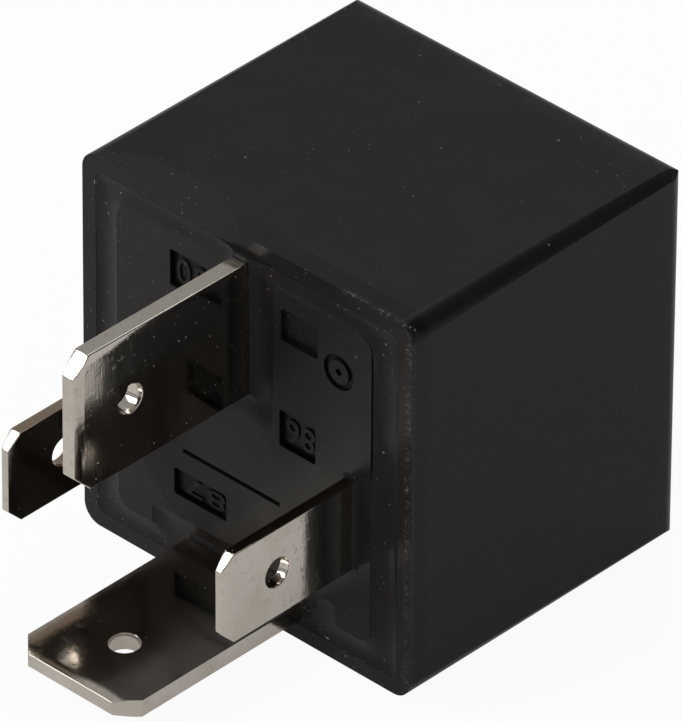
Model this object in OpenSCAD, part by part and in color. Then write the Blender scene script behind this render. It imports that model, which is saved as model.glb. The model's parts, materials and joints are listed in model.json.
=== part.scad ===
// Sealed automotive relay with one normally open contact, in millimetres.
// Everything is drawn square to the cover's mouth, which lies at y = 0: the
// tabs point to -Y, the closed end looks to +Y and +Z is up. placed() then
// lays the relay down on the drafted side that it rests on.

/* [Cover] */
// Width of the cover across the mouth
cover_w = 27.0; // [26:0.1:30]
// Height of the cover across the mouth
cover_h = 27.0; // [26:0.1:30]
// Depth of the cover from its mouth to its closed end
cover_depth = 23.7; // [22.5:0.1:27]
// Thickness of the four side walls
cover_wall = 1.1; // [0.8:0.05:1.3]
// Thickness of the closed end
cover_end_wall = 1.2; // [0.8:0.05:1.6]
// Radius of the four long outside edges
cover_edge_r = 1.3; // [1:0.1:2.5]
// Radius round the closed end
cover_end_r = 1.2; // [0.3:0.1:1.6]
// Mould draft of each side wall, in degrees
cover_draft = 0.35; // [0:0.05:0.6]

/* [Wide tabs: load circuit] */
// Width of the two wide tabs
wide_tab_w = 9.5; // [8:0.1:10]
// Thickness of the two wide tabs
wide_tab_t = 1.2; // [0.8:0.05:1.3]
// Length of the wide tabs outside the mouth
wide_tab_len = 14.9; // [12:0.1:18]
// Corner cut at the end of a wide tab
wide_tab_corner = 1.25; // [0.6:0.05:2]
// Width of a wide tab where it passes through the base
wide_neck_w = 7.0; // [5:0.1:7.6]

/* [Narrow tabs: coil circuit] */
// Width of the two narrow tabs
narrow_tab_w = 6.3; // [4.8:0.1:6.8]
// Thickness of the two narrow tabs
narrow_tab_t = 0.8; // [0.5:0.05:1]
// Length of the narrow tabs outside the mouth
narrow_tab_len = 11.4; // [9:0.1:14]
// Corner cut at the end of a narrow tab
narrow_tab_corner = 0.95; // [0.5:0.05:1.5]
// Width of a narrow tab where it passes through the base
narrow_neck_w = 5.0; // [3.5:0.1:5.4]

/* [Tab ends] */
// Length of the bevel on both faces of a tab's end
tip_bevel_len = 0.8; // [0.3:0.05:1.5]
// Depth of that bevel on each face
tip_bevel_depth = 0.14; // [0.05:0.01:0.2]
// Diameter of the detent hole in each tab
detent_d = 2.0; // [1.6:0.05:2.4]
// Distance from a tab's end to the centre of its detent hole
detent_from_tip = 4.6; // [3.5:0.1:6]

/* [Terminal places] */
// Height of tab 30's centre line below the top of the cover
tab_30_drop = 6.1; // [5.9:0.1:7]
// Height of tab 87's middle above the resting side
tab_87_z = 2.3; // [2.1:0.05:2.8]
// Height of tabs 85 and 86 above the resting side
coil_tab_z = 10.9; // [9.5:0.1:12]
// Distance of tabs 85 and 86 from the middle, on either side
coil_tab_x = 8.8; // [8.5:0.05:9.1]

/* [Base moulding] */
// How far the middle of the base stands proud of the mouth
plateau_rise = 0.2; // [0:0.05:0.5]
// Depth of the ledge round the raised middle, where the resin lies
ledge_depth = 1.0; // [0.7:0.05:1.6]
// Thickness of the base's floor behind the ledge
base_floor_t = 1.7; // [1.2:0.05:2]
// Height of the skirt and the terminal bosses behind the floor
base_skirt_h = 1.5; // [0.8:0.05:1.9]
// Thickness of the skirt
base_skirt_t = 1.2; // [0.8:0.05:1.6]
// Margin of the raised middle inside the cover's sides
plateau_side_margin = 3.1; // [2.6:0.1:3.5]
// Margin of the raised middle below the top of the cover
plateau_top_margin = 2.3; // [1.8:0.1:3]
// Height of the notch round tab 87, above the resting side
plateau_notch_z = 4.25; // [3.8:0.05:5]
// Half width of that notch
plateau_notch_half_w = 7.6; // [6:0.1:8.2]
// Depth of the windows that hold the terminal numbers
window_depth = 0.35; // [0.2:0.05:0.6]
// How far the floor of the pocket beside tab 30 lies inside the mouth
pocket_floor_y = 0.55; // [0.3:0.05:0.7]

/* [Sealing resin] */
// How far the resin's surface lies inside the mouth
resin_sink = 0.2; // [0.1:0.05:0.6]

/* [Magnet system] */
// Thickness of the yoke's steel
yoke_t = 1.8; // [1.4:0.05:2.2]
// Width of the yoke
yoke_w = 13.0; // [11:0.1:14]
// Radius of the core
core_r = 3.5; // [2.8:0.05:4]
// Radius of the core's pole face
pole_r = 5.0; // [4.2:0.05:5.6]
// Thickness of the pole face
pole_t = 1.3; // [0.9:0.05:1.8]
// Thickness of the armature
armature_t = 1.5; // [1.2:0.05:1.7]
// Width of the armature
armature_w = 12.4; // [10.5:0.1:13.4]
// Angle of the armature when the coil is off, in degrees
armature_open = 3.0; // [2:0.1:3.2]

/* [Coil] */
// Wall of the bobbin's tube
bobbin_tube_t = 1.0; // [0.7:0.05:1.3]
// Thickness of the bobbin's flanges
flange_t = 1.0; // [0.7:0.05:1.3]
// How far the flanges stand out over the winding
flange_over = 0.8; // [0.5:0.05:1.5]
// Diameter of one visible turn of the winding
turn_d = 0.42; // [0.3:0.02:0.6]
// Diameter of the two lead wires
lead_d = 0.36; // [0.25:0.01:0.45]

/* [Contacts] */
// Radius of the fixed contact
fixed_contact_r = 1.9; // [1.4:0.05:2]
// Height of the fixed contact over its carrier
fixed_contact_h = 0.8; // [0.5:0.05:1]
// Radius of the moving contact
moving_contact_r = 1.7; // [1.2:0.05:1.8]
// Distance of the contacts above the middle of terminal 87
contact_rise = 2.4; // [2.2:0.05:2.8]
// Thickness of the contact spring
spring_t = 0.3; // [0.2:0.01:0.35]
// Width of the contact spring
spring_w = 8.6; // [7:0.1:9.5]
// Thickness of the copper braid
braid_t = 0.8; // [0.5:0.05:0.9]
// Width of the copper braid
braid_w = 5.0; // [3.5:0.1:6]
// Thickness of the rest stop's steel
stop_t = 0.8; // [0.5:0.05:0.9]
// Width of the rest stop's upright
stop_w = 2.4; // [1.6:0.1:2.8]

/* [Clearances] */
// Gap between the base and the cover's walls
base_gap = 0.15; // [0.08:0.01:0.25]
// Gap round a terminal in its slot, on each side
slot_gap = 0.04; // [0.02:0.01:0.08]
// Gap round a rivet or a core in its hole
hole_gap = 0.02; // [0.01:0.01:0.05]
// Air gap that stays between armature and pole when the coil is on
residual_gap = 0.08; // [0.04:0.01:0.12]
// Gap that stays between the contacts at the closed end of the travel
contact_gap = 0.05; // [0.03:0.01:0.1]
// Room between the yoke's leg and the cover, for spring, rivets and braid
leg_room = 1.9; // [1.7:0.05:2.6]
// Room between the armature's spring and the cover's closed end
end_room = 2.6; // [2.5:0.05:3.4]

/* [Hidden] */
$fn = 64;
eps = 0.01;                  // makes a cutting tool break through a face

// ---- places along Y, counted inwards from the mouth ----
tips_y = -wide_tab_len * cos(cover_draft)
    + (tab_87_z - wide_tab_t / 2 + tip_bevel_depth) * sin(cover_draft);
closed_end_y = cover_depth * cos(cover_draft)
    + (cover_h - cover_end_r - (cover_depth - cover_end_r) * tan(cover_draft)) * sin(cover_draft);
mouth_y = -(tips_y + closed_end_y) / 2;        // puts the origin under the middle
ledge_y = ledge_depth;
floor_y = ledge_y + base_floor_t;
boss_y = floor_y + base_skirt_h;
shoulder_y = ledge_y - resin_sink;             // where a tab narrows to its neck
pad_h = 0.4;                                   // pads that carry the yoke
web_y = boss_y + pad_h;
web_top_y = web_y + yoke_t;
cavity_end_y = cover_depth - cover_end_wall;
spring_top_y = cavity_end_y - end_room;        // with the armature closed
armature_top_y = spring_top_y - spring_t;
hinge_y = armature_top_y - armature_t;
pole_y = hinge_y - residual_gap;
leg_end_y = pole_y;
seat_gap = 0.05;                               // bobbin against yoke and pole
bobbin_y = web_top_y + seat_gap;
bobbin_top_y = pole_y - pole_t - seat_gap;
winding_y = bobbin_y + flange_t;
winding_top_y = bobbin_top_y - flange_t;

// ---- places across X and Z ----
plateau_half_w = cover_w / 2 - plateau_side_margin;
cavity_half_w = cover_w / 2 - cover_wall;
cavity_low_z = cover_wall;
cavity_top_z = cover_h - cover_wall;
tab_30_z = cover_h - tab_30_drop;
leg_z = cavity_top_z - leg_room;               // outer face of the yoke's leg
leg_inner_z = leg_z - yoke_t;
riser_top_z = tab_87_z + wide_tab_t / 2;
yoke_bend_r = 0.6;
coil_leg_gap = 0.5;                            // bobbin's flange under the yoke's leg
coil_riser_gap = 1.4;                          // bobbin's flange over terminal 87
flange_tab_gap = 0.4;                          // bobbin's flange beside tabs 85 and 86
core_gap = 0.1;                                // core in the bobbin's tube
flange_top_z = leg_inner_z - coil_leg_gap;
flange_low_z = riser_top_z + coil_riser_gap;
coil_z = (flange_top_z + flange_low_z) / 2;
flange_half_h = (flange_top_z - flange_low_z) / 2;
flange_half_w = coil_tab_x - narrow_tab_t / 2 - flange_tab_gap;
winding_r = min(flange_half_w, flange_half_h) - flange_over;
tube_r = core_r + core_gap + bobbin_tube_t;
flange_corner_r = 1.5;
post_notch = [0.9, 1.2];                       // half size of the flange's notch for a wire post
hinge_z = leg_z;
core_shoulder = 0.9;                           // core's step where it is riveted to the yoke
core_rivet_r = core_r - core_shoulder;
ear_gap = 0.15;                                // armature's ears beside the yoke
ear_t = 0.9;
ear_drop = 1.2;
ear_h = yoke_t - 0.4;                          // a little less than the leg's thickness

// ---- contacts ----
contact_z = tab_87_z + contact_rise;
shelf_drop = 0.1;                              // terminal 87's shelf under the pole face
shelf_edge = 0.2;                              // shelf past the fixed contact
shelf_y = pole_y - shelf_drop;
shelf_end_z = contact_z + fixed_contact_r + shelf_edge;
fixed_top_y = shelf_y + fixed_contact_h;
moving_low_y = fixed_top_y + contact_gap;      // with the armature closed
armature_end_gap = 0.9;                        // between contacts and armature
armature_end_z = contact_z + fixed_contact_r + armature_end_gap;
armature_taper = 1.6;                          // corners cut at the armature's end
armature_taper_len = 2.4;
armature_taper_z = armature_end_z + armature_taper_len;
web_past_armature = 0.2;                       // yoke's web past the armature's end
web_low_z = armature_end_z - web_past_armature;
contact_stem_r = 1.0;
moving_stem_r = 0.9;
moving_head_r = 1.25;                          // riveted end of the moving contact
rivet_r = 0.75;
rivet_head_r = 1.3;
rivet_head_h = 0.35;
rivet_x = 2.7;
pole_to_rivet = 1.4;                           // armature's rivets beyond the pole face
leg_end_to_rivet = 4.4;                        // yoke's rivets back from the leg's end
rivet_to_foot_end = 2.0;                       // spring's foot past the yoke's rivets
armature_rivet_z = coil_z + pole_r + pole_to_rivet;
yoke_rivet_y = leg_end_y - leg_end_to_rivet;
spring_foot_y = yoke_rivet_y - rivet_to_foot_end;
spring_bend_r = 1.3;                           // inside of the spring's bend
spring_lift = 0.02;                            // spring's foot over the yoke
spring_end_z = tab_87_z - stop_t / 2 - 0.1;    // free end, under the rest stop
blade_margin = 0.6;                            // spring's blade beside the contact
blade_taper_z = armature_end_z + 2;            // where the blade begins to narrow
blade_root_z = hinge_z - spring_bend_r + 0.03; // just inside the bend

// ---- braid ----
braid_gap = 0.08;                              // over the yoke's rivets and the spring
braid_end_gap = 0.35;                          // to the cover's closed end
braid_turn_r = 2.0;
braid_weld_len = 1.7;                          // flat end on the yoke
braid_step_len = 1.5;                          // slope from the yoke up over the rivets
braid_to_contact = 2.3;                        // end on the spring, above the contacts
braid_leaf_len = 2.2;                          // flat end on the spring
braid_slope_len = 3.2;                         // slope from the cover's end to the spring

cavity_end_r = 0.5;
cavity_edge_r = cover_edge_r - cover_wall + cavity_end_r;

// ---- terminal details ----
bend_r = 0.6;                                  // inside bend of terminal 87
neck_30_z = tab_30_z - 0.1;
tongue_30_z = leg_inner_z - 2.6;               // middle of the tongue in the yoke
tongue_30_w = 2.8;
neck_past_boss = 1.0;                          // neck of terminals 85 and 86 behind the base
post_w = 1.2;                                  // their wire posts
post_len = 1.9;
post_y = winding_y + 0.4;
wrap_turns = 3;
wrap_pitch = lead_d * 0.94;
wrap_gap = 0.02;                               // wire round the post's corners
wrap_r = norm([post_w / 2, narrow_tab_t / 2]) + wrap_gap + lead_d / 2;
lead_inset = 0.1;                              // first turn past the post's root
lead_gap = 0.05;                               // wire's end off the winding

// ---- rest stop ----
stop_side_gap = 1.6;                           // upright beside terminal 87's neck
stop_x = wide_neck_w / 2 + stop_side_gap;
stop_z = tab_87_z;
stop_root_y = ledge_y + 0.4;                   // foot of the upright, in the base's floor
stop_arm_x = -spring_w / 4;                    // far end of the arm
stop_gap = 0.05;
stop_arm_h = 0.95;

// ---- base ----
base_corner_r = 0.8;
window_r = 0.15;
plateau_top_z = cover_h - plateau_top_margin;
plateau_low_z = 2.7;
plateau_r = 1.0;
notch_r = 0.5;
pocket_half_x = 1.0;                           // pocket beside tab 30
pocket_side_x = 2.4;
pocket_z = tab_30_z - wide_tab_w / 2 - 1.95;
mould_ring_place = [7.75, tab_30_z + 0.3];
blank_slot = [[-5.0, 9.1], [3.0, 9.42]];       // unused middle terminal, a blind slot
blank_slot_depth = 0.6;
boss_t = 1.0;                                  // boss round a terminal's neck
boss_30_half_w = 1.9;
coil_boss_w = 3.0;
pad_r = 0.9;                                   // pads under the yoke's web
pad_x = 4.6;
pad_from_web_end = 1.5;
pad_from_leg = 5.0;
resin_gap = 0.02;                              // keeps resin and cover apart

// ================= helpers =================

// An outline in the X-Z plane, from y0 to y1
module xz_prism(y0, y1) {
    translate([0, y1, 0]) rotate([90, 0, 0]) linear_extrude(height = y1 - y0) children();
}

// An outline in the Y-Z plane, from x0 to x1
module yz_prism(x0, x1) {
    translate([x0, 0, 0]) rotate([90, 0, 90]) linear_extrude(height = x1 - x0) children();
}

// An outline in the X-Y plane, from z0 to z1
module xy_prism(z0, z1) {
    translate([0, 0, z0]) linear_extrude(height = z1 - z0) children();
}

// A round rod along Y at the place [x, z]
module y_rod(place, r, y0, y1) {
    translate([place[0], y0, place[1]]) rotate([-90, 0, 0]) cylinder(r = r, h = y1 - y0);
}

// A round rod along Z at the place [x, y]
module z_rod(place, r, z0, z1) {
    translate([place[0], place[1], z0]) cylinder(r = r, h = z1 - z0);
}

module box(low, high) {
    translate(low) cube(high - low);
}

// A flat rectangle between two corners
module rect_between(low, high) {
    translate(low) square(high - low);
}

// The same with true round corners
module round_rect(low, high, r) {
    translate([low[0] + r, low[1]]) square([high[0] - low[0] - 2 * r, high[1] - low[1]]);
    translate([low[0], low[1] + r]) square([high[0] - low[0], high[1] - low[1] - 2 * r]);
    for (x = [low[0] + r, high[0] - r], z = [low[1] + r, high[1] - r])
        translate([x, z]) circle(r = r);
}

// A bend in sheet metal: the part of a ring between two angles, less than 180 degrees apart
module bend(r, t, from, to) {
    reach = 3 * (r + t);
    middle = (from + to) / 2;
    intersection() {
        difference() {
            circle(r = r + t);
            circle(r = r);
        }
        polygon([[0, 0], for (a = [from, middle, to]) reach * [cos(a), sin(a)]]);
    }
}

// A strip of even thickness along a chain of points
function chain_normal(p, i) =
    let (a = p[max(i - 1, 0)], b = p[min(i + 1, len(p) - 1)], d = (b - a) / norm(b - a)) [-d[1], d[0]];
function strip(p, t) = concat(
    [for (i = [0 : len(p) - 1]) p[i] + chain_normal(p, i) * t / 2],
    [for (i = [len(p) - 1 : -1 : 0]) p[i] - chain_normal(p, i) * t / 2]);
function arc_points(c, r, from, to, n) =
    [for (i = [0 : n]) let (a = from + (to - from) * i / n) c + r * [cos(a), sin(a)]];

// Puts what is drawn with the armature closed into its rest position
module at_rest_angle() {
    translate([0, hinge_y, hinge_z]) rotate([armature_open, 0, 0]) translate([0, -hinge_y, -hinge_z])
        children();
}

// ================= housing =================

// A block that narrows by the mould's draft towards its closed end
module drafted_block(w, h, low_z, depth, edge_r, end_r) {
    intersection() {
        xz_prism(0, depth) round_rect([-w / 2, low_z], [w / 2, low_z + h], edge_r);
        yz_prism(-w / 2, w / 2) drafted_profile(low_z, low_z + h, depth, end_r);
        xy_prism(low_z, low_z + h) mirror([1, -1]) drafted_profile(-w / 2, w / 2, depth, end_r);
    }
}

// Side view of that block, drawn along its depth between two heights
module drafted_profile(low, high, depth, end_r) {
    straight = depth - end_r;
    drop = straight * tan(cover_draft);
    polygon([[0, low], [straight, low + drop], [straight, high - drop], [0, high]]);
    translate([straight - eps, low + drop + end_r])
        square([end_r + eps, high - low - 2 * (drop + end_r)]);
    for (v = [low + drop + end_r, high - drop - end_r])
        translate([straight, v]) circle(r = end_r);
}

module cover() color("#262626") difference() {
    drafted_block(cover_w, cover_h, 0, cover_depth, cover_edge_r, cover_end_r);
    cavity();
}

// The space inside the cover
module cavity() {
    drafted_block(2 * cavity_half_w, cavity_top_z - cavity_low_z, cavity_low_z, cavity_end_y,
                  cavity_edge_r, cavity_end_r);
}

// Outline of the base where it fits the mouth
module base_outline(inset) {
    g = base_gap + inset;
    round_rect([-cavity_half_w + g, cavity_low_z + g], [cavity_half_w - g, cavity_top_z - g],
               base_corner_r);
}

// The raised middle of the base, open round tabs 30 and 87
module plateau_outline() {
    difference() {
        round_rect([-plateau_half_w, plateau_low_z], [plateau_half_w, plateau_top_z], plateau_r);
        round_rect([-plateau_notch_half_w, 0], [plateau_notch_half_w, plateau_notch_z], notch_r);
        pocket_outline(cover_h);
    }
}

// The pocket beside tab 30, up to a given height
module pocket_outline(top_z) {
    round_rect([-pocket_half_x, pocket_z], [pocket_side_x, top_z], notch_r);
}

// Windows for the terminal numbers: [low corner, high corner] in X and Z
number_windows = [
    [[-6.05, tab_30_z - 0.1], [-3.0, tab_30_z + 2.5]],
    [[3.05, tab_30_z + 0.35], [6.05, tab_30_z + 2.6]],
    [[2.95, coil_tab_z + 2.7], [5.9, coil_tab_z + 5.3]],
    [[-5.9, coil_tab_z + 2.7], [-2.95, coil_tab_z + 5.3]],
    [[-5.75, tab_87_z + 3.5], [-1.4, tab_87_z + 5.4]]
];

module base() color("#2e2c2c") difference() {
    union() {
        xz_prism(-plateau_rise, ledge_y + eps) plateau_outline();
        xz_prism(pocket_floor_y, ledge_y + eps) pocket_outline(plateau_top_z);
        xz_prism(ledge_y, floor_y) base_outline(0);
        xz_prism(floor_y - eps, boss_y) difference() {
            base_outline(0);
            base_outline(base_skirt_t);
        }
        xz_prism(floor_y - eps, boss_y) intersection() {
            base_outline(0);
            terminal_bosses();
        }
        yoke_pads();
    }
    for (w = number_windows)
        xz_prism(-plateau_rise - eps, window_depth - plateau_rise) round_rect(w[0], w[1], window_r);
    xz_prism(-plateau_rise - eps, blank_slot_depth) rect_between(blank_slot[0], blank_slot[1]);
    mould_ring();
    terminal_slots();
}

// The ring that the mould leaves beside the upper window
module mould_ring() {
    deep = 0.22;
    ring_r = 1.2;
    ring_w = 0.4;
    dot_r = 0.24;
    translate([mould_ring_place[0], -plateau_rise - eps, mould_ring_place[1]]) rotate([-90, 0, 0]) {
        difference() {
            cylinder(r = ring_r, h = deep);
            cylinder(r = ring_r - ring_w, h = 3 * deep, center = true);
        }
        cylinder(r = dot_r, h = deep);
    }
}

// Bosses behind the floor that hold the terminals and the rest stop
module terminal_bosses() {
    rect_between([-boss_30_half_w, neck_30_z - wide_neck_w / 2 - boss_t],
                 [boss_30_half_w, cavity_top_z]);
    for (s = [-1, 1])
        translate([s * coil_tab_x, coil_tab_z])
            square([coil_boss_w, narrow_neck_w + 2 * boss_t], center = true);
    rect_between([-wide_neck_w / 2 - boss_t, 0], [stop_x + stop_w + boss_t, riser_top_z + boss_t]);
}

// Four pads that the yoke's web stands on
module yoke_pads() {
    for (x = [-pad_x, pad_x], z = [web_low_z + pad_from_web_end, leg_inner_z - pad_from_leg])
        y_rod([x, z], pad_r, floor_y - eps, web_y);
}

module terminal_slots() {
    slot([0, tab_30_z], [wide_tab_t, wide_tab_w], -1, shoulder_y);
    slot([0, neck_30_z], [wide_tab_t, wide_neck_w], 0, web_y);
    slot([0, tab_87_z], [wide_tab_w, wide_tab_t], -1, shoulder_y);
    slot([0, tab_87_z], [wide_neck_w, wide_tab_t], 0, web_y);
    for (s = [-1, 1]) {
        slot([s * coil_tab_x, coil_tab_z], [narrow_tab_t, narrow_tab_w], -1, shoulder_y);
        slot([s * coil_tab_x, coil_tab_z], [narrow_tab_t, narrow_neck_w], 0, web_y);
    }
    slot([stop_x + stop_w / 2, stop_z], [stop_w, stop_t], stop_root_y, web_y);
}

// One slot at the place [x, z] of a size [x, z], with the terminal's gap
module slot(place, size, y0, y1) {
    xz_prism(y0, y1) translate(place) square(size + 2 * [slot_gap, slot_gap], center = true);
}

// Poured round the raised middle, up to the cover's walls
module sealing_resin() color("#3a3432") difference() {
    xz_prism(resin_sink, ledge_y) difference() {
        round_rect([-cavity_half_w + resin_gap, cavity_low_z + resin_gap],
                   [cavity_half_w - resin_gap, cavity_top_z - resin_gap], cavity_edge_r);
        plateau_outline();
        pocket_outline(plateau_top_z);
    }
    terminal_slots();
}

// ================= terminals =================

// A tab along -Y, flat in the X-Y plane, from its end to y = root
module tab(tab_len, w, t, corner, root) {
    tip = -tab_len;
    tip_half_t = t / 2 - tip_bevel_depth;
    difference() {
        intersection() {
            xy_prism(-t / 2, t / 2) polygon([
                [-w / 2, root], [-w / 2, tip + corner], [-w / 2 + corner, tip],
                [w / 2 - corner, tip], [w / 2, tip + corner], [w / 2, root]]);
            yz_prism(-w / 2, w / 2) polygon([
                [root, -t / 2], [tip + tip_bevel_len, -t / 2], [tip, -tip_half_t],
                [tip, tip_half_t], [tip + tip_bevel_len, t / 2], [root, t / 2]]);
        }
        z_rod([0, tip + detent_from_tip], detent_d / 2, -t, t);
    }
}

module terminal_30() color("#b9b5ae") {
    half_t = wide_tab_t / 2;
    translate([0, 0, tab_30_z]) rotate([0, 90, 0])
        tab(wide_tab_len, wide_tab_w, wide_tab_t, wide_tab_corner, shoulder_y);
    box([-half_t, shoulder_y - eps, neck_30_z - wide_neck_w / 2],
        [half_t, boss_y, neck_30_z + wide_neck_w / 2]);
    box([-half_t, boss_y - eps, tongue_30_z - tongue_30_w / 2],
        [half_t, web_top_y, tongue_30_z + tongue_30_w / 2]);
}

module terminal_87() color("#b9b5ae") {
    half_t = wide_tab_t / 2;
    translate([0, 0, tab_87_z])
        tab(wide_tab_len, wide_tab_w, wide_tab_t, wide_tab_corner, shoulder_y);
    bend_y = shelf_y - wide_tab_t - bend_r;
    bend_z = tab_87_z + half_t + bend_r;
    difference() {
        yz_prism(-wide_neck_w / 2, wide_neck_w / 2) {
            rect_between([shoulder_y - eps, tab_87_z - half_t], [bend_y + eps, tab_87_z + half_t]);
            translate([bend_y, bend_z]) bend(bend_r, wide_tab_t, -90, 0);
            rect_between([bend_y + bend_r, bend_z - eps], [shelf_y, shelf_end_z]);
        }
        y_rod([0, contact_z], contact_stem_r + hole_gap, bend_y, shelf_y + 1);
    }
}

module coil_terminal(s) color("#b9b5ae") translate([s * coil_tab_x, 0, 0]) {
    half_t = narrow_tab_t / 2;
    translate([0, 0, coil_tab_z]) rotate([0, 90, 0])
        tab(narrow_tab_len, narrow_tab_w, narrow_tab_t, narrow_tab_corner, shoulder_y);
    box([-half_t, shoulder_y - eps, coil_tab_z - narrow_neck_w / 2],
        [half_t, boss_y + neck_past_boss, coil_tab_z + narrow_neck_w / 2]);
    box([-half_t, boss_y + neck_past_boss - eps, coil_tab_z - post_w],
        [half_t, post_y, coil_tab_z + post_w]);
    box([-half_t, post_y - eps, coil_tab_z - post_w / 2],
        [half_t, post_y + post_len, coil_tab_z + post_w / 2]);
}

module terminal_85() coil_terminal(-1);
module terminal_86() coil_terminal(1);

// ================= magnet system and coil =================

module yoke() color("#8d9093") {
    bend_z = leg_inner_z - yoke_bend_r;
    difference() {
        yz_prism(-yoke_w / 2, yoke_w / 2) {
            rect_between([web_y, web_low_z], [web_top_y, bend_z + eps]);
            translate([web_top_y + yoke_bend_r, bend_z]) bend(yoke_bend_r, yoke_t, 90, 180);
            rect_between([web_top_y + yoke_bend_r - eps, leg_inner_z], [leg_end_y, leg_z]);
        }
        y_rod([0, coil_z], core_rivet_r + hole_gap, web_y - 1, web_top_y + 1);
        xz_prism(web_y - 1, web_top_y + 1) translate([0, tongue_30_z])
            square([wide_tab_t + 2 * hole_gap, tongue_30_w + 2 * hole_gap], center = true);
        for (s = [-1, 1])
            z_rod([s * rivet_x, yoke_rivet_y], rivet_r + hole_gap, leg_inner_z - 1, leg_z + 1);
    }
}

module core() color("#9a9c9e") {
    y_rod([0, coil_z], core_rivet_r, web_y, web_top_y + eps);
    y_rod([0, coil_z], core_r, web_top_y, pole_y - pole_t + eps);
    y_rod([0, coil_z], pole_r, pole_y - pole_t, pole_y);
}

module bobbin() color("#d8d2c2") difference() {
    union() {
        y_rod([0, coil_z], tube_r, bobbin_y, bobbin_top_y);
        for (y = [bobbin_y, winding_top_y])
            xz_prism(y, y + flange_t)
                round_rect([-flange_half_w, flange_low_z], [flange_half_w, flange_top_z],
                           flange_corner_r);
    }
    y_rod([0, coil_z], core_r + core_gap, bobbin_y - 1, bobbin_top_y + 1);
    for (s = [-1, 1])
        xz_prism(winding_y - flange_t - eps, winding_y + eps)
            translate([s * flange_half_w, coil_tab_z]) square(2 * post_notch, center = true);
}

// The turns show as rings on the outside of the winding
module coil_winding() color("#a5502a") translate([0, winding_y + seat_gap, coil_z]) rotate([-90, 0, 0]) {
    length = winding_top_y - winding_y - 2 * seat_gap;
    turns = floor(length / turn_d);
    pitch = (length - turn_d) / (turns - 1);
    rotate_extrude() {
        translate([tube_r + seat_gap, 0]) square([winding_r - turn_d / 2 - tube_r - seat_gap, length]);
        for (i = [0 : turns - 1])
            translate([winding_r - turn_d / 2, turn_d / 2 + i * pitch]) circle(r = turn_d / 2 * 0.999);
    }
}

// Wrapped round the terminal's post, then in to the winding
module lead_wire(s) color("#b4602f") {
    first_y = post_y + lead_d / 2 + lead_inset;
    surface_x = sqrt(pow(winding_r, 2) - pow(coil_tab_z - coil_z, 2)) + lead_gap;
    for (i = [0 : wrap_turns - 1])
        translate([s * coil_tab_x, first_y + i * wrap_pitch, coil_tab_z]) rotate([-90, 0, 0])
            rotate_extrude() translate([wrap_r, 0]) circle(r = lead_d / 2);
    translate([s * surface_x, first_y, coil_tab_z]) rotate([0, s * 90, 0])
        cylinder(r = lead_d / 2, h = coil_tab_x - wrap_r - surface_x);
}

module lead_wire_85() lead_wire(-1);
module lead_wire_86() lead_wire(1);

// ================= armature and contacts =================

module armature() color("#8d9093") at_rest_angle() {
    half_w = armature_w / 2;
    ear_x = yoke_w / 2 + ear_gap;
    difference() {
        intersection() {
            yz_prism(-ear_x - ear_t, ear_x + ear_t) armature_side();
            union() {
                xz_prism(hinge_y, armature_top_y) polygon([
                    [-half_w, hinge_z], [-half_w, armature_taper_z],
                    [-half_w + armature_taper, armature_end_z], [half_w - armature_taper, armature_end_z],
                    [half_w, armature_taper_z], [half_w, hinge_z]]);
                // ears beside the yoke's leg keep the armature in place
                xz_prism(hinge_y - ear_drop, armature_top_y)
                    for (s = [-1, 1]) translate([s * (ear_x + ear_t / 2), (leg_inner_z + hinge_z) / 2])
                        square([ear_t, ear_h], center = true);
                xz_prism(hinge_y, armature_top_y) translate([0, (leg_inner_z + hinge_z) / 2])
                    square([2 * ear_x + ear_t, ear_h], center = true);
            }
        }
        for (s = [-1, 1])
            y_rod([s * rivet_x, armature_rivet_z], rivet_r + hole_gap, hinge_y - 1, armature_top_y + 1);
    }
}

// Side view of the armature: its back edge is rounded where the spring bends round it
module armature_side() {
    rect_between([hinge_y - ear_drop, 0], [armature_top_y - spring_bend_r, hinge_z]);
    rect_between([hinge_y, 0], [armature_top_y, hinge_z - spring_bend_r]);
    translate([armature_top_y - spring_bend_r, hinge_z - spring_bend_r]) circle(r = spring_bend_r);
}

// One leaf: foot on the yoke, bend over the hinge, blade on the armature
module contact_spring() color("#c08a4a") {
    foot_z = leg_z + spring_lift;
    bend_z = foot_z - spring_bend_r;
    bend_y = leaf_height(bend_z) - (spring_bend_r + spring_t) / cos(armature_open);
    difference() {
        union() {
            yz_prism(-spring_w / 2, spring_w / 2) {
                rect_between([spring_foot_y, foot_z], [bend_y + eps, foot_z + spring_t]);
                translate([bend_y, bend_z]) bend(spring_bend_r, spring_t, armature_open, 90);
            }
            at_rest_angle() xz_prism(armature_top_y, spring_top_y) blade_outline();
        }
        for (s = [-1, 1]) {
            z_rod([s * rivet_x, yoke_rivet_y], rivet_r + hole_gap, leg_z - 1, leg_z + 2);
            at_rest_angle()
                y_rod([s * rivet_x, armature_rivet_z], rivet_r + hole_gap, hinge_y - 1, cavity_end_y);
        }
        at_rest_angle() y_rod([0, contact_z], moving_stem_r + hole_gap, hinge_y - 1, cavity_end_y);
    }
}

// The blade narrows past the armature's end and runs on under the rest stop
module blade_outline() {
    half_w = spring_w / 2;
    end_half_w = moving_contact_r + blade_margin;
    polygon([[-half_w, blade_root_z], [-half_w, blade_taper_z],
             [-end_half_w, contact_z + moving_contact_r], [-end_half_w, spring_end_z],
             [end_half_w, spring_end_z], [end_half_w, contact_z + moving_contact_r],
             [half_w, blade_taper_z], [half_w, blade_root_z]]);
}

// Height of the spring's upper face over a place on Z, in its rest position
function leaf_height(z) =
    hinge_y + (armature_t + spring_t - (z - hinge_z) * sin(armature_open)) / cos(armature_open);

module moving_contact() color("#d9dadb") at_rest_angle() {
    y_rod([0, contact_z], moving_contact_r, moving_low_y, armature_top_y);
    y_rod([0, contact_z], moving_stem_r, armature_top_y - eps, spring_top_y + eps);
    y_rod([0, contact_z], moving_head_r, spring_top_y, spring_top_y + rivet_head_h);
}

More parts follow.
